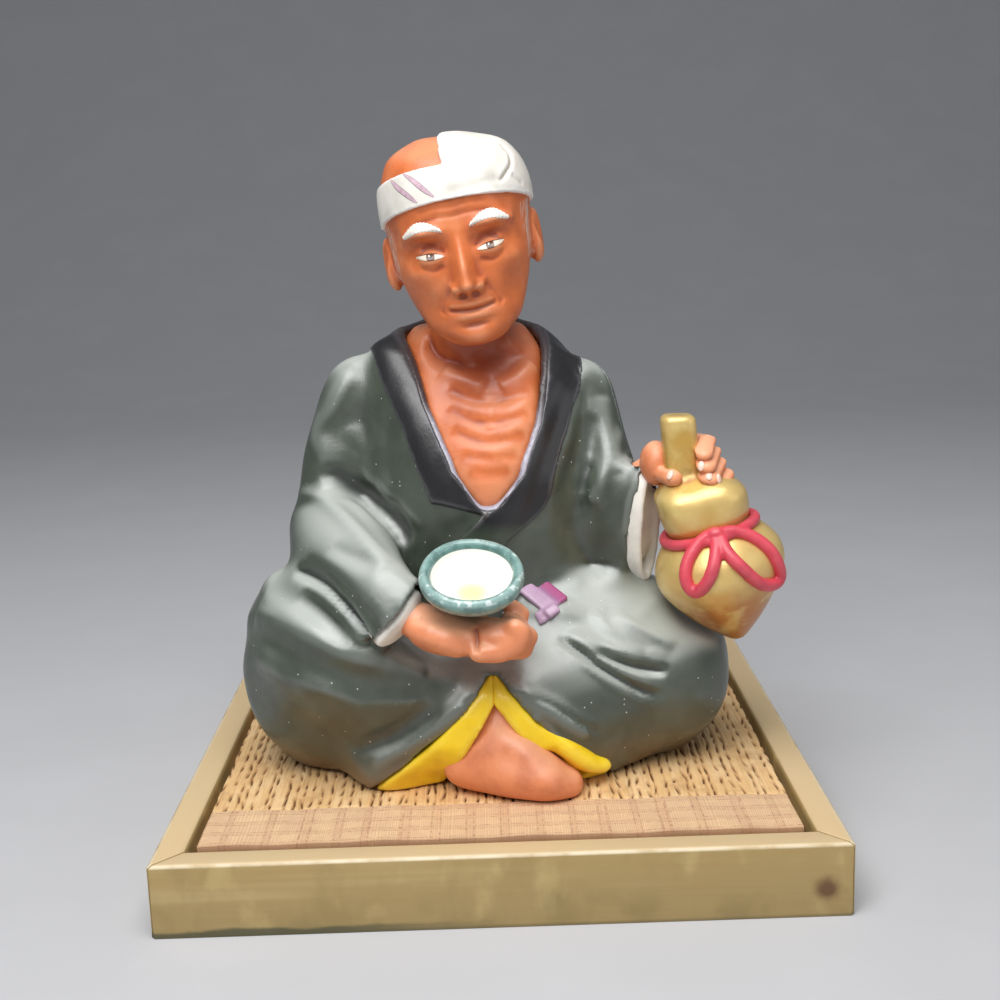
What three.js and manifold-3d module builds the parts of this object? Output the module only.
// Seated clay figurine of an old man in a robe, with a cup and a gourd, on a framed stand
// with a rush mat. Millimetres, +Z up. The figure faces -Y and its right hand is at -X.
// The origin is the centre of the stand's underside.
import * as THREE from "three";
import { mergeVertices } from "three/addons/utils/BufferGeometryUtils.js";
import Module from "manifold-3d";

const wasm = await Module();
wasm.setup();

// Fits
const FIT = 0.3; // gap between pieces that seat on each other
const FAR = 400; // reach of a cutting block, well past the figure

// Stand: four mitred rails round a floor panel, with a bound rush mat in the tray
const STAND_WIDTH = 180;
const STAND_HEIGHT = 20;
const RAIL_WIDTH = 8.5;
const RAIL_CHAMFER = 0.8;
const PANEL_THICKNESS = 4.5;
const PANEL_REBATE = 3.5; // how far the panel reaches under the rails
const MAT_DROP = 1; // from the rails' top down to the mat's top
const RUSH_THICKNESS = 4.2;
const RIB_RISE = 0.9;
const RIB_PITCH = 4;
const BINDING_WIDTH = 26;
const BINDING_THICKNESS = 1.4;

// Lap: hips, crossed legs and the robe over them; levels are above the mat
const HIP_SPREAD = 20;
const HIP_BACK = 22;
const HIP_RADIUS = 28;
const RIGHT_KNEE_SPREAD = 48;
const LEFT_KNEE_SPREAD = 45;
const KNEE_FORWARD = 15;
const KNEE_RADIUS = 26;
const RIGHT_KNEE_LEVEL = 26;
const RIGHT_KNEE_HALF_HEIGHT = 31;
const LEFT_KNEE_LEVEL = 24;
const LEFT_KNEE_HALF_HEIGHT = 27;
const SHIN_SPREAD = 9;
const SHIN_FORWARD = 33;
const SHIN_RADIUS = 20;
const SHIN_LEVEL = 15;
const SHIN_HALF_HEIGHT = 26;

// Torso; heights are above the mat
const TORSO_LEAN = 5; // sideways, towards the right arm, at the neck
const TORSO_CENTRE = 9; // behind the stand's middle
const WAIST_HALF_WIDTH = 40;
const CHEST_HALF_WIDTH = 39;
const CHEST_DEPTH_FRONT = 36;
const CHEST_DEPTH_BACK = 33;
const SHOULDER_HEIGHT = 103;
const SHOULDER_HALF_WIDTH = 37;
const NECK_RISE = 26; // from the shoulders up to the neck's base
const NECK_BASE_HALF_WIDTH = 18;
const CASTING_WALL = 7;
const VENT_RADIUS = 7;

// Sleeves
const SLEEVE_RADIUS = 14.5;
const ELBOW_SPREAD = 47; // right elbow, out from the stand's middle
const ELBOW_HEIGHT = 67;
const CUFF_BREADTH = 8;
const CUFF_HEIGHT = 11; // half height of the right sleeve's opening
const SLEEVE_DROP = 20; // half height of the left sleeve's hanging opening
const CUFF_WALL = 1.6;
const CUFF_DEPTH = 7;
const WRIST_RADIUS = 4.4;

// Neckline
const NECKLINE_DROP = 53; // from the neck's base down to the point of the V
const CHEST_RECESS = 2; // skin lies this far under the robe's surface
const CHEST_PLUG_BACK = 18; // behind the stand's middle
const COLLAR_WIDTH = 11;
const COLLAR_SUNK = 2.1;
const COLLAR_PROUD = 1.3;
const COLLAR_LAP = 15; // how far the upper collar runs on below the V
const UNDER_COLLAR_WIDTH = 1.8;

// Head
const HEAD_WIDTH = 41;
const HEAD_DEPTH = 46;
const HEAD_HEIGHT = 56;
const HEAD_LIFT = 22.5; // centre of the head above the neck's base
const HEAD_FORWARD = 15; // centre of the head in front of the torso's axis
const HEAD_TILT = 10; // degrees, crown towards the right arm
const HEAD_NOD = 6; // degrees, face down
const NECK_RADIUS = 12;
const NECK_PLUG = 14; // neck inside the chest
const CLOTH_THICKNESS = 2;
const CLOTH_BAND = 9.8;
const CLOTH_SLOPE = 17; // degrees, the band falls towards the back

// Hem, foot and sash
const HEM_APEX = 34; // top of the front opening above the mat
const HEM_RIGHT = 35; // corner of the opening on the right arm's side
const HEM_LEFT = 33;
const HEM_RIGHT_WIDTH = 16; // lining shown along the mat
const HEM_LEFT_WIDTH = 9;
const HEM_LIP = 8; // from the opening's apex down to where the lining strips part
const HEM_RECESS = 0.8;
const HEM_BACK = 32; // back wall of the opening, in front of the stand's middle
const FOOT_LENGTH = 36;
const FOOT_FORWARD = 46;
const FOOT_HALF_HEIGHT = 8;
const ANKLE_RADIUS = 9.5;
const SASH_LEVEL = 50; // lower edge above the mat
const SASH_HEIGHT = 12;
const KNOT_LEVEL = 47;
const KNOT_ANGLE = 22; // degrees round from the front
const KNOT_DEPTH = 4.5;
const KNOT_HALF_HEIGHT = 4.4;
const SASH_SUNK = 2;
const SASH_PROUD = 1.2;

// Cup
const CUP_RADIUS = 14.2;
const CUP_HEIGHT = 12;
const CUP_WALL = 3;
const CUP_FOOT_RADIUS = 6;
const CUP_TILT = 30; // degrees, towards the viewer
const CUP_LEVEL = 55; // foot of the cup above the mat
const CUP_FORWARD = 50;
const CUP_OFFSET = -5.5;
const PALM_RADIUS = 6;
const CUP_FINGER_RADIUS = 2.8;

// Gourd
const GOURD_HEIGHT = 68;
const GOURD_RADIUS = 19;
const GOURD_UPPER_RADIUS = 14;
const GOURD_WAIST_RADIUS = 12;
const GOURD_NECK_RADIUS = 5.2;
const GOURD_TILT = 15; // degrees, neck towards the figure
const GOURD_OFFSET = 71.3;
const GOURD_FORWARD = 26;
const GOURD_LEVEL = 36.5; // bottom above the mat
const CORD_RADIUS = 1.7;
const FINGER_RADIUS = 1.85;

// Places worked out from the driving dimensions
const MAT_TOP = STAND_HEIGHT - MAT_DROP;
const SEAT = MAT_TOP + FIT;
const HALF_SIDE = STAND_WIDTH / 2;
const TRAY_HALF = HALF_SIDE - RAIL_WIDTH - FIT;
const NECK_BASE = SHOULDER_HEIGHT + NECK_RISE;
const NECKLINE = NECK_BASE - NECKLINE_DROP;
const above = (height) => SEAT + height;
const vec = (x, y, z) => new THREE.Vector3(x, y, z);
const radians = THREE.MathUtils.degToRad;
const HERE = new THREE.Matrix4();
const UP = vec(0, 0, 1);

// Materials
const finish = (color, roughness, metalness = 0) =>
  new THREE.MeshStandardMaterial({ color, roughness, metalness });
const wood = finish(0xb89a63, 0.55);
const plywood = finish(0xc2a878, 0.8);
const rush = finish(0xd2ad77, 0.85);
const bindingCloth = finish(0xc29a68, 0.85);
const robePaint = finish(0x4c524a, 0.42);
const collarPaint = finish(0x1d1a1b, 0.4);
const greyPaint = finish(0x9a95a0, 0.5);
const skinPaint = finish(0xc9703f, 0.4);
const whitePaint = finish(0xeeeae0, 0.5);
const yellowPaint = finish(0xe3b81f, 0.45);
const purplePaint = finish(0x8a5578, 0.45);
const tealPaint = finish(0x3f6f6b, 0.35);
const goldPaint = finish(0xb68a3e, 0.35, 0.5);
const redPaint = finish(0xc2485a, 0.42);

// Skin a list of rings of equal point count: open ends get a fan about a pole, or about their
// middle; a closed list joins up
function skin(rings, { closed = false, poles = [] } = {}) {
  const sides = rings[0].length;
  const points = rings.flat();
  const index = [];
  const last = closed ? rings.length : rings.length - 1;
  for (let i = 0; i < last; i++) {
    const a = i * sides;
    const b = ((i + 1) % rings.length) * sides;
    for (let j = 0; j < sides; j++) {
      const k = (j + 1) % sides;
      index.push(a + j, a + k, b + k, a + j, b + k, b + j);
    }
  }
  if (!closed) {
    const cap = (start, turn, pole) => {
      const middle = vec(0, 0, 0);
      for (let j = 0; j < sides; j++) middle.addScaledVector(points[start + j], 1 / sides);
      const centre = points.push(pole ?? middle) - 1;
      for (let j = 0; j < sides; j++) {
        const edge = [start + j, start + ((j + 1) % sides)];
        index.push(centre, ...(turn ? edge : edge.reverse()));
      }
    };
    cap(0, false, poles[0]);
    cap((rings.length - 1) * sides, true, poles[1]);
  }
  return new THREE.BufferGeometry().setFromPoints(points).setIndex(index);
}

// A closed geometry as a solid, turned face out if its rings ran the other way
function solid(geometry) {
  const bare = geometry.clone();
  bare.deleteAttribute("normal");
  bare.deleteAttribute("uv");
  const merged = mergeVertices(bare, 1e-3);
  const triVerts = new Uint32Array(merged.index.array);
  const vertProperties = merged.attributes.position.array;
  const made = new wasm.Manifold(new wasm.Mesh({ numProp: 3, vertProperties, triVerts }));
  if (made.volume() > 0) return made;
  const turned = triVerts.slice().reverse();
  return new wasm.Manifold(new wasm.Mesh({ numProp: 3, vertProperties, triVerts: turned }));
}
const join = (first, ...others) => others.reduce((sum, other) => sum.add(other), first);
const cut = (first, ...others) => others.reduce((left, other) => left.subtract(other), first);
const common = (first, second) => first.intersect(second);

// A named mesh from a solid
function piece(name, body, material) {
  const { vertProperties, triVerts } = body.getMesh();
  const geometry = new THREE.BufferGeometry();
  geometry.setAttribute("position", new THREE.BufferAttribute(new Float32Array(vertProperties), 3));
  geometry.setIndex(new THREE.BufferAttribute(new Uint32Array(triVerts), 1));
  geometry.computeVertexNormals();
  const mesh = new THREE.Mesh(geometry, material);
  mesh.name = name;
  return mesh;
}

// A block between two corners, and a ball with its own radius along each axis
function block(low, high, place = HERE) {
  const size = high.clone().sub(low);
  const middle = low.clone().add(high).multiplyScalar(0.5);
  const box = new THREE.BoxGeometry(size.x, size.y, size.z);
  return solid(box.translate(middle.x, middle.y, middle.z).applyMatrix4(place));
}
const below = (z) => block(vec(-FAR, -FAR, -FAR), vec(FAR, FAR, z));
function ball(centre, radii, place = HERE) {
  const geometry = new THREE.SphereGeometry(1, 8, 6).scale(radii.x, radii.y, radii.z);
  return solid(geometry.translate(centre.x, centre.y, centre.z).applyMatrix4(place));
}

// A prism of an outline drawn in X and Z, between two depths in Y
function frontPrism(shape, yFrom, yTo, curveSegments = 8) {
  const settings = { depth: yTo - yFrom, bevelEnabled: false, curveSegments };
  const geometry = new THREE.ExtrudeGeometry(shape, settings);
  return solid(geometry.rotateX(Math.PI / 2).translate(0, yTo, 0));
}

// A prism of an outline drawn in Y and Z, from x = 0 to a length
function sidePrism(shape, length) {
  const settings = { depth: length, bevelEnabled: false, curveSegments: 4 };
  const geometry = new THREE.ExtrudeGeometry(shape, settings);
  return geometry.rotateX(Math.PI / 2).rotateZ(Math.PI / 2);
}

// Smooth values between stations: each row is a position followed by its values
function track(rows) {
  const width = rows[0].length - 1;
  const positions = Float32Array.from(rows.map((row) => row[0]));
  const values = Float32Array.from(rows.flatMap((row) => row.slice(1)));
  const curve = new THREE.CubicInterpolant(positions, values, width, new Float32Array(width));
  return (at) => Array.from(curve.evaluate(at));
}

// Upright loft through rows of [z, x, y, half width, depth in front, depth behind]
function uprightLoft(rows, { rings, sides, grow = 0, place = HERE }) {
  const at = track(rows);
  const low = rows[0][0];
  const high = rows[rows.length - 1][0];
  const loops = [];
  for (let i = 0; i <= rings; i++) {
    const share = i / rings;
    const z = low + (high - low) * share;
    const [x, y, halfWidth, front, back] = at(z);
    const loop = [];
    for (let j = 0; j < sides; j++) {
      const turn = (j / sides) * 2 * Math.PI;
      const across = Math.cos(turn) * (halfWidth + grow);
      const along = Math.sin(turn) * ((Math.sin(turn) < 0 ? front : back) + grow);
      loop.push(vec(x + across, y + along, z + grow * (2 * share - 1)));
    }
    loops.push(loop);
  }
  return solid(skin(loops).applyMatrix4(place));
}

// An ellipse of points round a centre, in the plane of two directions
function ellipse(centre, side, up, breadth, height, sides) {
  const loop = [];
  for (let j = 0; j < sides; j++) {
    const turn = (j / sides) * 2 * Math.PI;
    const point = centre.clone().addScaledVector(side, Math.cos(turn) * breadth);
    loop.push(point.addScaledVector(up, Math.sin(turn) * height));
  }
  return loop;
}

// Limb along stations of [point, half breadth, half height]; its ends are rounded,
// or the far one is left flat
const BROAD_END = [0.5, 1.05]; // rings of a rounded end, as angles
const SLIM_END = [0.75];
const SLIM_SIDES = 9;
function limb(stations, options) {
  const { steps, sides, grow = 0, reference = UP, flatEnd = false, place = HERE } = options;
  const path = new THREE.CatmullRomCurve3(stations.map(([point]) => point));
  const radii = track(stations.map((s, i) => [i / (stations.length - 1), s[1], s[2]]));
  const sized = (t) => radii(t).map((r) => r + grow);
  const onward = (t, reach) => {
    const [breadth, height] = sized(t);
    return path.getPoint(t).addScaledVector(path.getTangent(t), (reach * (breadth + height)) / 2);
  };
  const ring = (t, shrink, reach) => {
    const tangent = path.getTangent(t);
    const side = tangent.clone().cross(reference).normalize();
    const up = side.clone().cross(tangent);
    const [breadth, height] = sized(t);
    return ellipse(onward(t, reach), side, up, breadth * shrink, height * shrink, sides);
  };
  const end = sides > SLIM_SIDES ? BROAD_END : SLIM_END;
  const rounded = (t, way) => end.map((a) => ring(t, Math.cos(a), way * Math.sin(a)));
  const loops = rounded(0, -1).reverse();
  for (let i = 0; i <= steps; i++) loops.push(ring(i / steps, 1, 0));
  if (!flatEnd) loops.push(...rounded(1, 1));
  const poles = [onward(0, -1), flatEnd ? undefined : onward(1, 1)];
  return solid(skin(loops, { poles }).applyMatrix4(place));
}

// Closed tube along a closed curve
function loopTube(points, radius, steps, sides, grow = 0) {
  const path = new THREE.CatmullRomCurve3(points, true);
  const frames = path.computeFrenetFrames(steps, true);
  const loops = [];
  for (let i = 0; i < steps; i++) {
    const centre = path.getPointAt(i / steps);
    const size = radius + grow;
    loops.push(ellipse(centre, frames.normals[i], frames.binormals[i], size, size, sides));
  }
  return solid(skin(loops, { closed: true }));
}

// Flat band between two edge curves, sunk and proud of them along a direction from an axis
function band(edgeA, edgeB, outward, { steps, sunk, proud, grow = 0 }) {
  const a = new THREE.CatmullRomCurve3(edgeA);
  const b = new THREE.CatmullRomCurve3(edgeB);
  const loops = [];
  for (let i = 0; i <= steps; i++) {
    const p = a.getPoint(i / steps);
    const q = b.getPoint(i / steps);
    const across = q.clone().sub(p).normalize();
    const out = outward(p.clone().add(q).multiplyScalar(0.5));
    p.addScaledVector(across, -grow);
    q.addScaledVector(across, grow);
    loops.push([
      p.clone().addScaledVector(out, -sunk - grow),
      q.clone().addScaledVector(out, -sunk - grow),
      q.clone().addScaledVector(out, proud * 0.6 + grow),
      q.clone().lerp(p, 0.25).addScaledVector(out, proud + grow),
      p.clone().lerp(q, 0.25).addScaledVector(out, proud + grow),
      p.clone().addScaledVector(out, proud * 0.6 + grow),
    ]);
  }
  return solid(skin(loops));
}

// Revolved solid from an outline of [radius, height] pairs that starts and ends on the axis
function revolved(outline, sides, place) {
  const points = outline.map(([r, z]) => new THREE.Vector2(r, z));
  return solid(new THREE.LatheGeometry(points, sides).rotateX(Math.PI / 2).applyMatrix4(place));
}

// One rail of the frame: an extruded profile, rebated under for the panel, with mitred ends
function rail(name, quarter) {
  const ledge = PANEL_THICKNESS + FIT;
  const profile = [
    [0, 0],
    [RAIL_WIDTH - PANEL_REBATE, 0],
    [RAIL_WIDTH - PANEL_REBATE, ledge],
    [RAIL_WIDTH, ledge],
    [RAIL_WIDTH, STAND_HEIGHT - RAIL_CHAMFER],
    [RAIL_WIDTH - RAIL_CHAMFER, STAND_HEIGHT],
    [RAIL_CHAMFER, STAND_HEIGHT],
    [0, STAND_HEIGHT - RAIL_CHAMFER],
  ];
  const shape = new THREE.Shape(profile.map(([inset, z]) => new THREE.Vector2(inset, z)));
  const geometry = sidePrism(shape, 1);
  const position = geometry.getAttribute("position");
  for (let i = 0; i < position.count; i++) {
    const side = position.getX(i) < 0.5 ? -1 : 1;
    const inset = position.getY(i);
    position.setX(i, side * (HALF_SIDE - inset - FIT / 2));
    position.setY(i, inset - HALF_SIDE);
  }
  const mesh = piece(name, solid(geometry), wood);
  mesh.rotation.z = quarter * (Math.PI / 2);
  return mesh;
}

// Floor panel, let into the rails' rebate and flush with their underside
function panel() {
  const half = HALF_SIDE - RAIL_WIDTH + PANEL_REBATE - FIT;
  return piece("base_panel", block(vec(-half, -half, 0), vec(half, half, PANEL_THICKNESS)), plywood);
}

// Stiff core that the rush is laid over
function matCore() {
  const low = vec(-TRAY_HALF, -TRAY_HALF, PANEL_THICKNESS + FIT);
  const high = vec(TRAY_HALF, TRAY_HALF, MAT_TOP - RUSH_THICKNESS - FIT);
  return piece("mat_core", block(low, high), plywood);
}

// Rush facing: a thin sheet with rounded ribs that run from front to back between the bindings
const RUSH_SHEET_TOP = MAT_TOP - BINDING_THICKNESS - FIT;
const RIBS_HALF_LENGTH = TRAY_HALF - BINDING_WIDTH - FIT;
function rushMat() {
  const count = Math.floor((2 * TRAY_HALF) / RIB_PITCH);
  const pitch = (2 * TRAY_HALF) / count;
  const valley = MAT_TOP - RIB_RISE;
  const shape = new THREE.Shape();
  shape.moveTo(-TRAY_HALF, RUSH_SHEET_TOP - FIT);
  shape.lineTo(TRAY_HALF, RUSH_SHEET_TOP - FIT);
  shape.lineTo(TRAY_HALF, valley);
  for (let i = 1; i <= count; i++) {
    const start = TRAY_HALF - (i - 1) * pitch;
    shape.quadraticCurveTo(start - pitch / 2, MAT_TOP + RIB_RISE, start - pitch, valley);
  }
  const ribs = frontPrism(shape, -RIBS_HALF_LENGTH, RIBS_HALF_LENGTH, 3);
  const end = TRAY_HALF - BINDING_THICKNESS - FIT;
  const low = vec(-TRAY_HALF, -end, MAT_TOP - RUSH_THICKNESS);
  const sheet = block(low, vec(TRAY_HALF, end, RUSH_SHEET_TOP));
  return piece("rush_mat", join(sheet, ribs), rush);
}

// Cloth binding folded over the mat's end, with a rounded outer edge
function binding(name, halfTurn) {
  const inner = TRAY_HALF - BINDING_WIDTH;
  const under = MAT_TOP - BINDING_THICKNESS;
  const shape = new THREE.Shape();
  shape.moveTo(-inner, under);
  shape.lineTo(-inner, MAT_TOP);
  shape.lineTo(-TRAY_HALF + BINDING_THICKNESS, MAT_TOP);
  shape.quadraticCurveTo(-TRAY_HALF, MAT_TOP, -TRAY_HALF, under);
  shape.lineTo(-TRAY_HALF, MAT_TOP - RUSH_THICKNESS);
  shape.lineTo(-TRAY_HALF + BINDING_THICKNESS, MAT_TOP - RUSH_THICKNESS);
  shape.lineTo(-TRAY_HALF + BINDING_THICKNESS, under);
  const geometry = sidePrism(shape, 2 * TRAY_HALF).translate(-TRAY_HALF, 0, 0);
  const mesh = piece(name, solid(geometry), bindingCloth);
  mesh.rotation.z = halfTurn * Math.PI;
  return mesh;
}

// Cup and gourd, and the frames they stand in
const cupPlace = new THREE.Matrix4()
  .makeRotationX(radians(CUP_TILT))
  .setPosition(CUP_OFFSET, -CUP_FORWARD, above(CUP_LEVEL));
const gourdPlace = new THREE.Matrix4()
  .makeRotationY(radians(-GOURD_TILT))
  .setPosition(GOURD_OFFSET, -GOURD_FORWARD, above(GOURD_LEVEL));
const byCup = (x, y, z) => vec(CUP_OFFSET + x, y - CUP_FORWARD, above(CUP_LEVEL) + z);
const byGourd = (x, y, z) => vec(x, y, z).applyMatrix4(gourdPlace);

// Shallow drinking cup with a thick lip and a foot; grown, it is a plain plug for cutting seats
function cupSolid(grow = 0) {
  const outer = CUP_RADIUS + grow;
  const side = [
    [0, -grow],
    [CUP_FOOT_RADIUS + grow, -grow],
    [CUP_FOOT_RADIUS + grow, CUP_HEIGHT * 0.12],
    [outer * 0.72, CUP_HEIGHT * 0.32],
    [outer * 0.93, CUP_HEIGHT * 0.6],
    [outer, CUP_HEIGHT * 0.82],
    [outer - 0.3, CUP_HEIGHT * 0.95],
  ];
  if (grow) return revolved([...side, [0, CUP_HEIGHT]], 18, cupPlace);
  const lip = outer - CUP_WALL;
  const inside = [
    [outer - CUP_WALL / 2, CUP_HEIGHT],
    [lip, CUP_HEIGHT * 0.95],
    [lip * 0.93, CUP_HEIGHT * 0.72],
    [lip * 0.7, CUP_HEIGHT * 0.45],
    [lip * 0.35, CUP_HEIGHT * 0.3],
    [0, CUP_HEIGHT * 0.27],
  ];
  return revolved([...side, ...inside], 18, cupPlace);
}

// Gourd bottle: two bulbs, a waist between them and a straight neck
const GOURD_WAIST = GOURD_HEIGHT * 0.5;
const LOWER_BULB = GOURD_HEIGHT * 0.29;
const NECK_START = GOURD_HEIGHT * 0.74;
const gourdStations = [
  [GOURD_RADIUS * 0.2, 0],
  [GOURD_RADIUS * 0.58, GOURD_HEIGHT * 0.07],
  [GOURD_RADIUS * 0.88, GOURD_HEIGHT * 0.17],
  [GOURD_RADIUS, LOWER_BULB],
  [GOURD_RADIUS * 0.9, GOURD_HEIGHT * 0.42],
  [GOURD_WAIST_RADIUS, GOURD_WAIST],
  [GOURD_UPPER_RADIUS, GOURD_HEIGHT * 0.57],
  [GOURD_UPPER_RADIUS * 0.93, GOURD_HEIGHT * 0.66],
  [GOURD_NECK_RADIUS * 1.15, NECK_START],
  [GOURD_NECK_RADIUS, GOURD_HEIGHT * 0.97],
].map(([r, z]) => new THREE.Vector2(r, z));
const gourdOutline = new THREE.SplineCurve(gourdStations).getPoints(2 * gourdStations.length - 2);
function gourdSolid(grow = 0) {
  const side = gourdOutline.map(({ x, y }) => [x + grow, y]);
  const top = [
    [GOURD_NECK_RADIUS - 0.8 + grow, GOURD_HEIGHT + grow],
    [0, GOURD_HEIGHT + grow],
  ];
  return revolved([[0, -grow], ...side, ...top], 16, gourdPlace);
}

// A point off the gourd's side, square to it, at a height and a way round from the front
function offGourd(height, turn, lift) {
  const next = gourdOutline.findIndex((point) => point.y > height);
  const [low, high] = [gourdOutline[next - 1], gourdOutline[next]];
  const out = new THREE.Vector2(high.y - low.y, low.x - high.x).normalize();
  const radius = THREE.MathUtils.mapLinear(height, low.y, high.y, low.x, high.x) + out.x * lift;
  return byGourd(Math.sin(turn) * radius, -Math.cos(turn) * radius, height + out.y * lift);
}

// Cord round the gourd's waist, tied in front in a bow of two loops
const CORD_LIFT = CORD_RADIUS + 2 * FIT;
function cordSolid(grow = 0) {
  const round = [];
  for (let k = 0; k < 8; k++) {
    round.push(offGourd(GOURD_WAIST - CORD_RADIUS, (k / 8) * 2 * Math.PI, CORD_LIFT));
  }
  const knot = offGourd(GOURD_WAIST - CORD_RADIUS * 2, 0, CORD_LIFT + CORD_RADIUS);
  const bow = (across, drop) => {
    const loop = [
      [0.45, 0.2],
      [1, 0.7],
      [0.85, 1],
      [0.3, 0.75],
    ].map(([shareAcross, shareDrop]) => {
      const turn = (across * shareAcross) / GOURD_RADIUS;
      return offGourd(GOURD_WAIST - drop * shareDrop, turn, CORD_LIFT);
    });
    return loopTube([knot, ...loop], CORD_RADIUS, 12, 5, grow);
  };
  const knotEnd = (side) => [
    knot.clone().add(vec(side * CORD_RADIUS, 0, 0)),
    CORD_RADIUS * 1.1,
    CORD_RADIUS * 1.4,
  ];
  const centre = limb([knotEnd(-1), knotEnd(1)], { steps: 1, sides: 8, grow });
  return join(loopTube(round, CORD_RADIUS, 16, 5, grow), centre, bow(-9, 17), bow(20, 14));
}

// Torso: an upright loft that leans to one side as it rises
const leanAt = (height) => (-TORSO_LEAN * height) / NECK_BASE;
const SEAT_CUT = 4; // what the seat's flat takes off the rounded forms
function torsoRow(height, halfWidth, frontShare, backShare) {
  const front = CHEST_DEPTH_FRONT * frontShare;
  const back = CHEST_DEPTH_BACK * backShare;
  return [above(height), leanAt(height), TORSO_CENTRE, halfWidth, front, back];
}
const torsoRows = [
  torsoRow(-SEAT_CUT, WAIST_HALF_WIDTH * 0.85, 0.6, 1),
  torsoRow(SHOULDER_HEIGHT * 0.4, WAIST_HALF_WIDTH, 0.93, 1),
  torsoRow(SHOULDER_HEIGHT * 0.78, CHEST_HALF_WIDTH, 1, 1),
  torsoRow(SHOULDER_HEIGHT, SHOULDER_HALF_WIDTH, 0.83, 0.82),
  torsoRow(
    SHOULDER_HEIGHT + NECK_RISE * 0.55,
    SHOULDER_HALF_WIDTH * 0.45 + NECK_BASE_HALF_WIDTH * 0.6,
    0.62,
    0.62,
  ),
  torsoRow(NECK_BASE, NECK_BASE_HALF_WIDTH, 0.44, 0.44),
];
const torsoAt = track(torsoRows);
const torsoSolid = (grow = 0) => uprightLoft(torsoRows, { rings: 11, sides: 24, grow });

// A point on the torso at a height and an angle from the front, positive to the left arm
function onTorso(height, degrees, lift = 0) {
  const [x, y, halfWidth, front, back] = torsoAt(above(height));
  const turn = radians(degrees);
  const depth = Math.cos(turn) > 0 ? front : back;
  const across = Math.sin(turn) * (halfWidth + lift);
  return vec(x + across, y - Math.cos(turn) * (depth + lift), above(height));
}

// A nearby point brought onto the torso at its own height
function ontoTorso(point) {
  const [x, y, halfWidth, front, back] = torsoAt(point.z);
  const along = (y - point.y) / (point.y < y ? front : back);
  const turn = Math.atan2((point.x - x) / halfWidth, along);
  return onTorso(point.z - SEAT, THREE.MathUtils.radToDeg(turn));
}

// The way out from the torso, tipped up where the shoulders slope
function awayFromTorso(point) {
  const [x, y, halfWidth, front] = torsoAt(point.z);
  const [, , widthAbove] = torsoAt(point.z + 1);
  const out = vec((point.x - x) / halfWidth, (point.y - y) / front, 0).normalize();
  return out.add(vec(0, 0, halfWidth - widthAbove)).normalize();
}

// One edge of the neckline, from the point of the V over the shoulder to the nape
const necklineSide = (side) =>
  [
    [0, 0],
    [0.22, 7],
    [0.46, 16],
    [0.7, 33],
    [0.86, 60],
    [0.93, 105],
    [0.95, 150],
    [0.95, 186],
  ].map(([share, degrees]) => onTorso(NECKLINE + NECKLINE_DROP * share, side * degrees));
const FRONT_POINTS = 5; // points of the edge that face forward

// A band along the neckline, between two offsets outwards over the torso
const EDGE_POINTS = 12;
function necklineBand(points, side, offsets, settings) {
  const curve = new THREE.CatmullRomCurve3(points);
  const [inner, outer] = offsets.map((offset) => {
    const edge = [];
    for (let i = 0; i <= EDGE_POINTS; i++) {
      const point = curve.getPoint(i / EDGE_POINTS);
      const across = awayFromTorso(point).cross(curve.getTangent(i / EDGE_POINTS)).normalize();
      edge.push(ontoTorso(point.addScaledVector(across, -side * offset)));
    }
    return edge;
  });
  return band(inner, outer, awayFromTorso, { steps: 10, ...settings });
}

const bothSides = (offsets, settings) =>
  join(...[1, -1].map((side) => necklineBand(necklineSide(side), side, offsets, settings)));

// Black collar: the left side laps over the right one and runs on below the V
function collarSolid(grow = 0) {
  const settings = { sunk: COLLAR_SUNK, proud: COLLAR_PROUD, grow };
  const offsets = [2 * FIT, COLLAR_WIDTH];
  const lapped = [onTorso(NECKLINE - COLLAR_LAP, -18), ...necklineSide(1)];
  const upper = necklineBand(lapped, 1, offsets, settings);
  return join(upper, necklineBand(necklineSide(-1), -1, offsets, settings));
}

// Pale edge of an under-robe that shows inside the collar
function underCollarSolid(grow = 0) {
  return bothSides([-UNDER_COLLAR_WIDTH, 0], { sunk: COLLAR_SUNK, proud: FIT, grow });
}

// Channel in the robe for that edge and the collar's inner half together
function necklineChannel() {
  const settings = { sunk: COLLAR_SUNK, proud: COLLAR_PROUD, grow: FIT };
  return bothSides([-UNDER_COLLAR_WIDTH, COLLAR_WIDTH / 2], settings);
}

// The V that the chest fills, as a prism from the front to the back of the chest's plug
function necklinePrism(grow = 0) {
  const right = necklineSide(-1).slice(1, FRONT_POINTS).reverse();
  const left = necklineSide(1).slice(1, FRONT_POINTS);
  const top = above(NECK_BASE) + NECK_RISE;
  const widen = (side) => (point) => new THREE.Vector2(point.x + side * grow, point.z);
  const tip = necklineSide(1)[0];
  const outline = [
    new THREE.Vector2(right[0].x - grow, top),
    ...right.map(widen(-1)),
    new THREE.Vector2(tip.x, tip.z - 2 * grow),
    ...left.map(widen(1)),
    new THREE.Vector2(left[left.length - 1].x + grow, top),
  ];
  return frontPrism(new THREE.Shape(outline), -FAR, CHEST_PLUG_BACK + grow);
}

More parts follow.
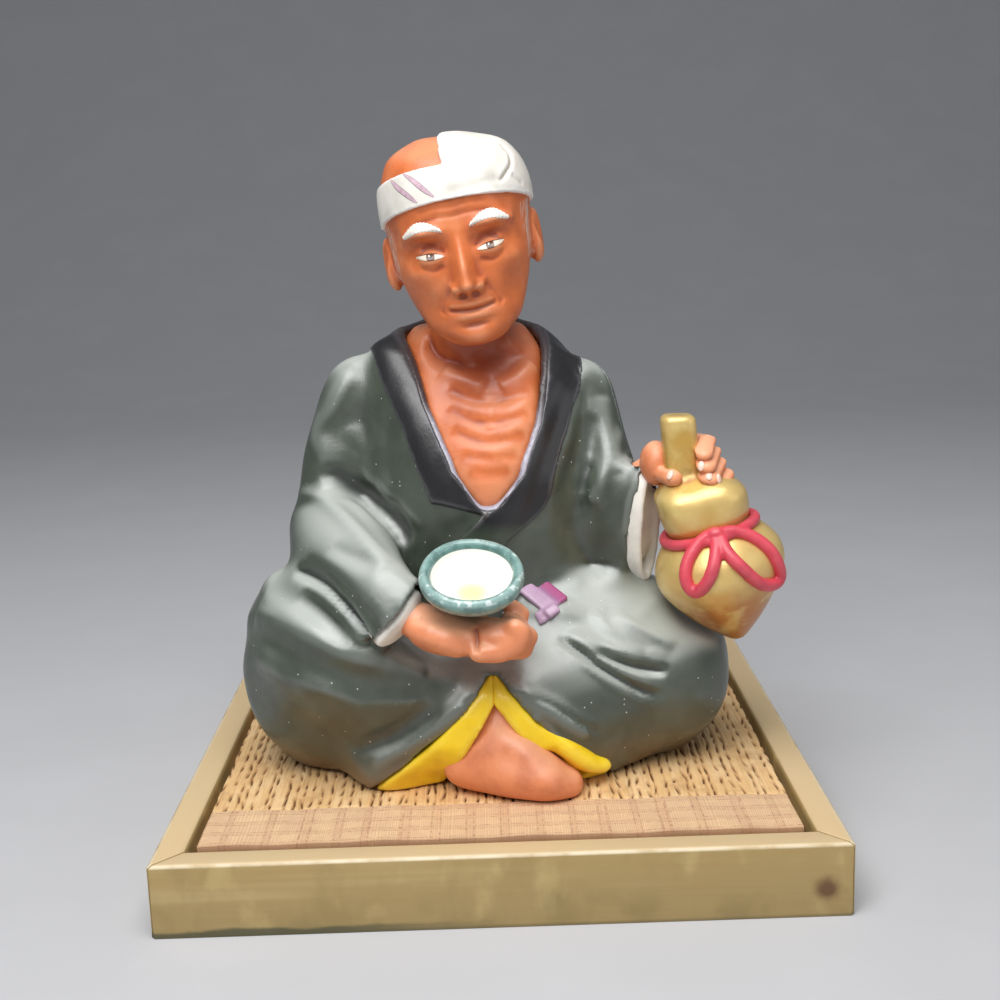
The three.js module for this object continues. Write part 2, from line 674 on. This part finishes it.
// Lap: thighs, shins and the robe stretched between them
const INNER = 0.94; // where two limbs meet, one end lies a little inside the other
const rightKnee = {
  middle: vec(-RIGHT_KNEE_SPREAD, -KNEE_FORWARD, above(RIGHT_KNEE_LEVEL)),
  halfHeight: RIGHT_KNEE_HALF_HEIGHT,
};
const leftKnee = {
  middle: vec(LEFT_KNEE_SPREAD, -KNEE_FORWARD, above(LEFT_KNEE_LEVEL)),
  halfHeight: LEFT_KNEE_HALF_HEIGHT,
};
function thigh({ middle, halfHeight }, grow = 0, sides = 16) {
  const hip = vec(Math.sign(middle.x) * HIP_SPREAD, HIP_BACK, above(HIP_RADIUS - 1));
  const stations = [
    [hip, HIP_RADIUS, HIP_RADIUS],
    [middle, KNEE_RADIUS, halfHeight],
  ];
  return limb(stations, { steps: 3, sides, grow });
}
function shin({ middle, halfHeight }, grow = 0) {
  const ankle = vec(Math.sign(middle.x) * SHIN_SPREAD, -SHIN_FORWARD, above(SHIN_LEVEL));
  const stations = [
    [middle, KNEE_RADIUS * INNER, halfHeight * INNER],
    [ankle, SHIN_RADIUS, SHIN_HALF_HEIGHT],
  ];
  return limb(stations, { steps: 3, sides: 16, grow });
}
function lapFill(grow = 0) {
  const row = (height, halfWidth, front, back) => [above(height), 0, 0, halfWidth, front, back];
  const front = SHIN_FORWARD + SHIN_RADIUS * 0.55;
  const rows = [
    row(-SEAT_CUT, LEFT_KNEE_SPREAD * 0.9, front * 0.9, HIP_BACK + HIP_RADIUS * 0.5),
    row(SHIN_LEVEL, LEFT_KNEE_SPREAD * 0.95, front, HIP_BACK + HIP_RADIUS * 0.6),
    row(SHIN_LEVEL + SHIN_HALF_HEIGHT, LEFT_KNEE_SPREAD * 0.8, front * 0.75, HIP_BACK),
  ];
  return uprightLoft(rows, { rings: 3, sides: 18, grow });
}
const lapSolid = (grow = 0) =>
  join(
    lapFill(grow),
    ...[rightKnee, leftKnee].flatMap((knee) => [thigh(knee, grow), shin(knee, grow)]),
  );

// Sleeve openings: where each ends, which way it faces and which way it is long
const rightMouth = {
  middle: byCup(-CUP_RADIUS * 1.37, -CUP_RADIUS * 0.14, -CUP_HEIGHT * 0.125),
  facing: vec(0.78, -0.5, -0.38).normalize(),
  long: vec(0.55, 0.2, 0.8),
  breadth: CUFF_BREADTH,
  height: CUFF_HEIGHT,
};
const leftMouth = {
  middle: byGourd(-GOURD_RADIUS * 0.88, GOURD_RADIUS * 0.47, GOURD_HEIGHT * 0.547),
  facing: vec(0.8, -0.58, -0.1).normalize(),
  long: vec(-0.13, 0, 1),
  breadth: CUFF_BREADTH,
  height: SLEEVE_DROP,
};
const inMouth = (mouth, depth) => mouth.middle.clone().addScaledVector(mouth.facing, -depth);

// A straight elliptical plug in a sleeve's opening, from a depth inside it to its rim
function mouthPlug({ middle, facing, long, breadth, height }, shrink, depth, proud) {
  const side = facing.clone().cross(long).normalize();
  const up = side.clone().cross(facing);
  const ring = (reach) => {
    const centre = middle.clone().addScaledVector(facing, reach);
    return ellipse(centre, side, up, breadth - shrink, height - shrink, 14);
  };
  return solid(skin([ring(-depth), ring(proud)]));
}

// Sleeves: the right one bends round to the cup, the left one hangs open beside the gourd
function rightSleeve() {
  const shoulder = vec(-SHOULDER_HALF_WIDTH, TORSO_CENTRE - 3, above(SHOULDER_HEIGHT - 2));
  const elbow = vec(-ELBOW_SPREAD, 0, above(ELBOW_HEIGHT));
  const { middle, long } = rightMouth;
  const upperArm = limb(
    [
      [shoulder, SLEEVE_RADIUS * 0.9, SLEEVE_RADIUS * 0.9],
      [elbow, SLEEVE_RADIUS * INNER, SLEEVE_RADIUS * INNER],
    ],
    { steps: 2, sides: 14 },
  );
  const forearm = limb(
    [
      [elbow, SLEEVE_RADIUS, SLEEVE_RADIUS],
      [elbow.clone().lerp(middle, 0.5).add(vec(-4, 0, 0)), SLEEVE_RADIUS, SLEEVE_RADIUS],
      [inMouth(rightMouth, CUFF_DEPTH), CUFF_BREADTH + 1.5, CUFF_HEIGHT + 1],
      [middle, CUFF_BREADTH, CUFF_HEIGHT],
    ],
    { steps: 6, sides: 14, reference: long, flatEnd: true },
  );
  return join(upperArm, forearm);
}
function leftSleeve() {
  const shoulder = vec(SHOULDER_HALF_WIDTH - 13, TORSO_CENTRE - 3, above(SHOULDER_HEIGHT - 3));
  const { middle, long } = leftMouth;
  const deep = inMouth(leftMouth, CUFF_DEPTH * 2);
  const elbow = inMouth(leftMouth, CUFF_DEPTH * 3.4);
  const upperArm = limb(
    [
      [shoulder, SLEEVE_RADIUS, SLEEVE_RADIUS],
      [deep.clone().add(vec(0, 0, SLEEVE_DROP * 0.35)), SLEEVE_RADIUS * 0.8, SLEEVE_RADIUS * 0.8],
    ],
    { steps: 2, sides: 14 },
  );
  const hanging = limb(
    [
      [elbow, CUFF_BREADTH + 4, SLEEVE_DROP * 0.8],
      [deep, CUFF_BREADTH + 3, SLEEVE_DROP * 0.9],
      [middle, CUFF_BREADTH, SLEEVE_DROP],
    ],
    { steps: 4, sides: 14, reference: long, flatEnd: true },
  );
  return join(upperArm, hanging);
}

// White lining inside a sleeve's opening
const RIM = 1.2; // robe left round the opening
function cuffSolid(mouth) {
  const outside = mouthPlug(mouth, RIM + FIT, CUFF_DEPTH - FIT, 0.4);
  return cut(outside, mouthPlug(mouth, RIM + FIT + CUFF_WALL, CUFF_DEPTH, 1));
}

// Right hand: palm under the cup, its heel in front and the fingers curled up beside it
const FINGERS = [0, 1, 2, 3];
function rightPalm(grow = 0) {
  const wrist = inMouth(rightMouth, CUFF_DEPTH + 2);
  return limb(
    [
      [wrist, WRIST_RADIUS, WRIST_RADIUS],
      [byCup(-13, -1, -5), PALM_RADIUS, PALM_RADIUS * 0.9],
      [byCup(-2, -2, -7.5), PALM_RADIUS * 1.5, PALM_RADIUS],
      [byCup(5, -3, -8), PALM_RADIUS * 1.5, PALM_RADIUS * 0.8],
    ],
    { steps: 5, sides: 10, grow },
  );
}
function rightHand() {
  const r = CUP_FINGER_RADIUS;
  const finger = (k) => {
    const y = 6 - k * r * 2.05;
    const stations = [
      [byCup(1, y, -10), r, r],
      [byCup(9, y, -9.8), r * 1.1, r * 1.1],
      [byCup(13.5, y, -6), r * 1.1, r * 1.1],
      [byCup(11, y, -2.6), r, r],
    ];
    return limb(stations, { steps: 4, sides: 6, reference: vec(0, 1, 0) });
  };
  const heel = limb(
    [
      [byCup(-15, -5, -5), r * 1.3, r * 1.3],
      [byCup(-9, -8.5, -6.5), r * 1.5, r * 1.5],
      [byCup(-4.5, -9, -8.5), r * 1.2, r * 1.3],
    ],
    { steps: 3, sides: 7 },
  );
  return join(rightPalm(), heel, ...FINGERS.map(finger));
}

// Left hand: closed round the gourd's neck from behind
const NECK_REACH = GOURD_NECK_RADIUS + 2 * FIT;
const FIRST_FINGER = NECK_START - FINGER_RADIUS * 0.3;
const FINGER_PITCH = FINGER_RADIUS * 2.05;
function leftArm(grow = 0) {
  const back = NECK_REACH + FINGER_RADIUS * 1.8;
  const palmMiddle = byGourd(0.5, back, FIRST_FINGER + FINGER_PITCH * 1.5);
  const palm = limb(
    [
      [byGourd(0.5, back, FIRST_FINGER), FINGER_RADIUS * 1.9, FINGER_RADIUS * 2.3],
      [byGourd(0.5, back, FIRST_FINGER + FINGER_PITCH * 3), FINGER_RADIUS * 1.7, FINGER_RADIUS * 2.1],
    ],
    { steps: 1, sides: 9, grow, reference: vec(0, 1, 0) },
  );
  const wrist = inMouth(leftMouth, CUFF_DEPTH + 2).add(vec(0, 0, SLEEVE_DROP * 0.5));
  const arm = limb(
    [
      [wrist, WRIST_RADIUS, WRIST_RADIUS],
      [wrist.clone().lerp(palmMiddle, 0.55), WRIST_RADIUS, WRIST_RADIUS],
      [palmMiddle, WRIST_RADIUS, WRIST_RADIUS * 1.2],
    ],
    { steps: 3, sides: 9, grow },
  );
  return join(palm, arm);
}
function leftHand() {
  const roundNeck = (degrees, radius, z) => {
    const turn = radians(degrees);
    return byGourd(Math.cos(turn) * radius, Math.sin(turn) * radius, z);
  };
  const arc = (from, to, depth, height, z, drop) =>
    [0, 1, 2, 3].map((k) => {
      const share = k / 3;
      const place = roundNeck(from + (to - from) * share, NECK_REACH + depth, z - drop * share);
      return [place, depth, height];
    });
  const finger = (k) => {
    const level = FIRST_FINGER + FINGER_PITCH * k;
    const bend = arc(100, 5 * k - 58, FINGER_RADIUS * (1.9 - k * 0.12), FINGER_RADIUS, level, 1.5);
    return limb(bend, { steps: 3, sides: 7 });
  };
  const thumbLevel = FIRST_FINGER + FINGER_PITCH * 1.2;
  const thumbBend = arc(95, 222, FINGER_RADIUS * 1.5, FINGER_RADIUS * 1.3, thumbLevel, 2.5);
  const thumb = limb(thumbBend, { steps: 3, sides: 7 });
  return join(leftArm(), thumb, ...FINGERS.map(finger));
}

// Sash round the waist, from under the left sleeve round the back to under the right one
const SASH_FROM = 72;
const SASH_TO = 258;
function sashSolid(grow = 0) {
  const edge = (height) => {
    const points = [];
    for (let i = 0; i <= 12; i++) {
      points.push(onTorso(height, SASH_FROM + ((SASH_TO - SASH_FROM) * i) / 12));
    }
    return points;
  };
  const settings = { steps: 14, sunk: SASH_SUNK, proud: SASH_PROUD, grow };
  return band(edge(SASH_LEVEL), edge(SASH_LEVEL + SASH_HEIGHT), awayFromTorso, settings);
}

// Its tied end in front beside the cup: a flat ribbon that slopes down, with a short end under it
function sashKnot(grow = 0) {
  const ribbon = limb(
    [
      [onTorso(KNOT_LEVEL + 2, KNOT_ANGLE - 6, 4), KNOT_DEPTH, KNOT_HALF_HEIGHT],
      [onTorso(KNOT_LEVEL - 2, KNOT_ANGLE + 7, 4), KNOT_DEPTH, KNOT_HALF_HEIGHT * 0.8],
    ],
    { steps: 1, sides: 10, grow },
  );
  const end = limb(
    [
      [onTorso(KNOT_LEVEL - 1, KNOT_ANGLE, 5), KNOT_DEPTH * 0.6, KNOT_DEPTH * 0.6],
      [onTorso(KNOT_LEVEL - KNOT_HALF_HEIGHT * 1.6, KNOT_ANGLE, 7), KNOT_DEPTH * 0.5, KNOT_DEPTH * 0.6],
    ],
    { steps: 1, sides: 8, grow, reference: vec(0, 1, 0) },
  );
  return join(ribbon, end);
}

// Front opening of the robe: a triangle on the mat, and the lining strips along its two sides
const OPENING_APEX = new THREE.Vector2(-0.8, above(HEM_APEX));
function openingPrism(grow = 0) {
  const floor = SEAT - SEAT_CUT;
  const outline = [
    new THREE.Vector2(-HEM_RIGHT - grow * 1.5, floor),
    new THREE.Vector2(HEM_LEFT + grow * 1.5, floor),
    new THREE.Vector2(OPENING_APEX.x, OPENING_APEX.y + grow * 1.5),
  ];
  return frontPrism(new THREE.Shape(outline), -FAR, grow - HEM_BACK);
}
function hemSolid(side, corner, width) {
  const floor = SEAT - SEAT_CUT;
  const parting = OPENING_APEX.y - HEM_LIP;
  const middle = OPENING_APEX.x + side * FIT * 0.5;
  const outline = [
    new THREE.Vector2(side * (corner - FIT * 1.5), floor),
    new THREE.Vector2(middle, OPENING_APEX.y - FIT * 1.5),
    new THREE.Vector2(middle, parting),
    new THREE.Vector2(side * (corner - width), floor),
  ];
  const strip = frontPrism(new THREE.Shape(outline), -FAR, -HEM_BACK - FIT);
  return cut(common(lapSolid(-HEM_RECESS), strip), below(SEAT), footSolid(FIT));
}

// Bare foot that comes out of the opening, toes towards the left knee
function footSolid(grow = 0) {
  const level = above(FOOT_HALF_HEIGHT - 1.5);
  const heel = vec(-FOOT_LENGTH * 0.17, 4 - FOOT_FORWARD, level + 1);
  const ball = vec(FOOT_LENGTH * 0.25, -FOOT_FORWARD - 1, level);
  const toe = vec(FOOT_LENGTH * 0.52, -FOOT_FORWARD, level - 2.5);
  const sole = limb(
    [
      [heel, ANKLE_RADIUS, FOOT_HALF_HEIGHT],
      [ball, ANKLE_RADIUS, FOOT_HALF_HEIGHT],
      [toe, ANKLE_RADIUS * 0.55, FOOT_HALF_HEIGHT * 0.55],
    ],
    { steps: 3, sides: 11, grow },
  );
  const shinEnd = vec(OPENING_APEX.x + 1, 8 - FOOT_FORWARD, above(HEM_APEX - ANKLE_RADIUS));
  const ankle = limb(
    [
      [shinEnd, ANKLE_RADIUS * 0.9, ANKLE_RADIUS * 0.8],
      [vec(1, 2 - FOOT_FORWARD, level + 4), ANKLE_RADIUS * 1.3, ANKLE_RADIUS],
    ],
    { steps: 1, sides: 11, grow, reference: vec(0, 1, 0) },
  );
  return cut(join(sole, ankle), below(SEAT - grow));
}

// Head, on its own upright frame: rows of shares of its height, depth and width
const headMiddle = vec(
  leanAt(NECK_BASE) - 1,
  TORSO_CENTRE - HEAD_FORWARD,
  above(NECK_BASE + HEAD_LIFT),
);
const headPlace = new THREE.Matrix4()
  .makeRotationFromEuler(new THREE.Euler(radians(HEAD_NOD), radians(-HEAD_TILT), 0))
  .setPosition(headMiddle);
const inHead = (x, y, z) => vec(x * HEAD_WIDTH, y * HEAD_DEPTH, z * HEAD_HEIGHT);
const headRows = [
  [-0.48, -0.27, 0.16, 0.15, 0.15],
  [-0.42, -0.21, 0.29, 0.26, 0.26],
  [-0.31, -0.15, 0.38, 0.33, 0.33],
  [-0.17, -0.09, 0.45, 0.4, 0.39],
  [-0.03, -0.03, 0.49, 0.44, 0.45],
  [0.12, 0, 0.505, 0.465, 0.49],
  [0.26, 0.02, 0.49, 0.475, 0.48],
  [0.37, 0.03, 0.42, 0.41, 0.42],
  [0.45, 0.03, 0.29, 0.29, 0.3],
  [0.5, 0.02, 0.11, 0.11, 0.12],
].map(([height, middle, halfWidth, front, back]) => [
  height * HEAD_HEIGHT,
  0,
  middle * HEAD_DEPTH,
  halfWidth * HEAD_WIDTH,
  front * HEAD_DEPTH,
  back * HEAD_DEPTH,
]);
const skull = (grow = 0) => uprightLoft(headRows, { rings: 11, sides: 18, grow, place: headPlace });

// A calm, plain face: brow ridge, nose, lips, closed-looking lids and ears
function faceForms() {
  const form = (points, sides = 6) =>
    limb(
      points.map(([x, y, z, breadth, height]) => [inHead(x, y, z), breadth, height]),
      { steps: 2, sides, place: headPlace },
    );
  const nose = form([
    [0, -0.455, 0.06, 1.6, 1.4],
    [0, -0.5, -0.07, 2, 2],
    [0, -0.515, -0.15, 2.8, 2.4],
  ]);
  const lips = form([
    [-0.14, -0.43, -0.285, 1.2, 1.3],
    [0, -0.46, -0.275, 1.8, 1.9],
    [0.14, -0.43, -0.285, 1.2, 1.3],
  ]);
  const chin = ball(inHead(0, -0.36, -0.41), vec(6, 4, 4.4), headPlace);
  const sides = [-1, 1].flatMap((side) => [
    form([
      [side * 0.08, -0.45, 0.1, 1.4, 1.5],
      [side * 0.24, -0.43, 0.12, 1.5, 1.6],
      [side * 0.38, -0.34, 0.1, 1.2, 1.4],
    ]),
    ball(inHead(side * 0.215, -0.405, 0.01), vec(4, 2.6, 2.4), headPlace),
    ball(inHead(side * 0.5, 0.05, -0.02), vec(2.2, 4.2, 7), headPlace),
  ]);
  return [nose, lips, chin, ...sides];
}

// Neck: from inside the chest up into the head
function neckSolid(grow = 0) {
  const foot = vec(leanAt(NECK_BASE), TORSO_CENTRE - HEAD_FORWARD * 0.4, above(NECK_BASE - NECK_PLUG));
  const top = inHead(0, 0.04, -0.2).applyMatrix4(headPlace);
  const stations = [
    [foot, NECK_RADIUS * 1.05, NECK_RADIUS],
    [foot.clone().lerp(top, 0.5), NECK_RADIUS, NECK_RADIUS * 0.95],
    [top, NECK_RADIUS, NECK_RADIUS],
  ];
  return limb(stations, { steps: 2, sides: 12, grow, reference: vec(0, 1, 0) });
}
const headSolid = () => join(skull(), neckSolid(), ...faceForms());

// Headcloth: a band that falls towards the back, and a folded flap over the left of the crown
function headclothSolid() {
  const shell = cut(skull(CLOTH_THICKNESS), skull(FIT));
  const bandPlace = new THREE.Matrix4()
    .makeRotationX(radians(-CLOTH_SLOPE))
    .setPosition(0, 0, 0.145 * HEAD_HEIGHT)
    .premultiply(headPlace);
  const slab = block(vec(-FAR, -FAR, 0), vec(FAR, FAR, CLOTH_BAND), bandPlace);
  const under = block(vec(-FAR, -FAR, -FAR), vec(FAR, FAR, 0), bandPlace);
  const flap = ball(inHead(0.32, -0.12, 0.4), inHead(0.4, 0.42, 0.3), headPlace);
  return common(shell, cut(join(slab, flap), under));
}

// Chest: bare skin that fills the V and carries the neck
function chestSolid() {
  const plug = common(torsoSolid(-CHEST_RECESS), necklinePrism(-FIT));
  return cut(plug, collarSolid(FIT), underCollarSolid(FIT), neckSolid(FIT));
}

// Robe: one hollow casting with a vent underneath, cut out for every piece that is set in it
function robeCavity() {
  const torso = uprightLoft(torsoRows, { rings: 5, sides: 12, grow: -CASTING_WALL });
  const hollow = join(torso, thigh(rightKnee, -CASTING_WALL, 8), thigh(leftKnee, -CASTING_WALL, 8));
  const floor = below(SEAT + CASTING_WALL);
  return cut(hollow, floor, necklinePrism(CASTING_WALL), openingPrism(CASTING_WALL));
}
function ventSolid() {
  const hole = new THREE.CylinderGeometry(VENT_RADIUS, VENT_RADIUS, CASTING_WALL * 4, 14);
  return solid(hole.rotateX(Math.PI / 2).translate(0, HIP_BACK, SEAT));
}
function robeSolid() {
  const outside = join(torsoSolid(), lapSolid(), rightSleeve(), leftSleeve());
  const mouths = [rightMouth, leftMouth].map((mouth) => mouthPlug(mouth, RIM, CUFF_DEPTH, 2));
  const inset = [
    collarSolid(FIT),
    necklineChannel(),
    sashSolid(FIT),
    sashKnot(FIT),
    footSolid(FIT),
    rightPalm(FIT),
    leftArm(FIT),
    gourdSolid(FIT),
  ];
  const openings = [below(SEAT), openingPrism(), necklinePrism(), ...mouths];
  return cut(outside, ...openings, ...inset, robeCavity(), ventSolid());
}

const stand = new THREE.Group();
stand.add(
  rail("front_rail", 0),
  rail("right_rail", 1),
  rail("rear_rail", 2),
  rail("left_rail", 3),
  panel(),
  matCore(),
  rushMat(),
  binding("front_binding", 0),
  binding("rear_binding", 1),
);

const figure = new THREE.Group();
figure.add(
  piece("robe_body", robeSolid(), robePaint),
  piece("collar_band", collarSolid(), collarPaint),
  piece("under_collar", cut(underCollarSolid(), collarSolid(FIT)), greyPaint),
  piece("chest", chestSolid(), skinPaint),
  piece("head", headSolid(), skinPaint),
  piece("headcloth", headclothSolid(), whitePaint),
  piece("sash", cut(sashSolid(), sashKnot(FIT)), purplePaint),
  piece("sash_knot", sashKnot(), purplePaint),
  piece("foot", footSolid(), skinPaint),
  piece("right_hem", hemSolid(-1, HEM_RIGHT, HEM_RIGHT_WIDTH), yellowPaint),
  piece("left_hem", hemSolid(1, HEM_LEFT, HEM_LEFT_WIDTH), yellowPaint),
  piece("right_cuff", cut(cuffSolid(rightMouth), rightPalm(FIT)), whitePaint),
  piece("left_cuff", cut(cuffSolid(leftMouth), leftArm(FIT)), whitePaint),
  piece("right_hand", cut(rightHand(), cupSolid(FIT)), skinPaint),
  piece("left_hand", cut(leftHand(), gourdSolid(FIT)), skinPaint),
  piece("cup", cupSolid(), tealPaint),
  piece("gourd", gourdSolid(), goldPaint),
  piece("gourd_cord", cut(cordSolid(), gourdSolid(FIT)), redPaint),
);

const figurine = new THREE.Group();
figurine.add(stand, figure);
export default figurine;
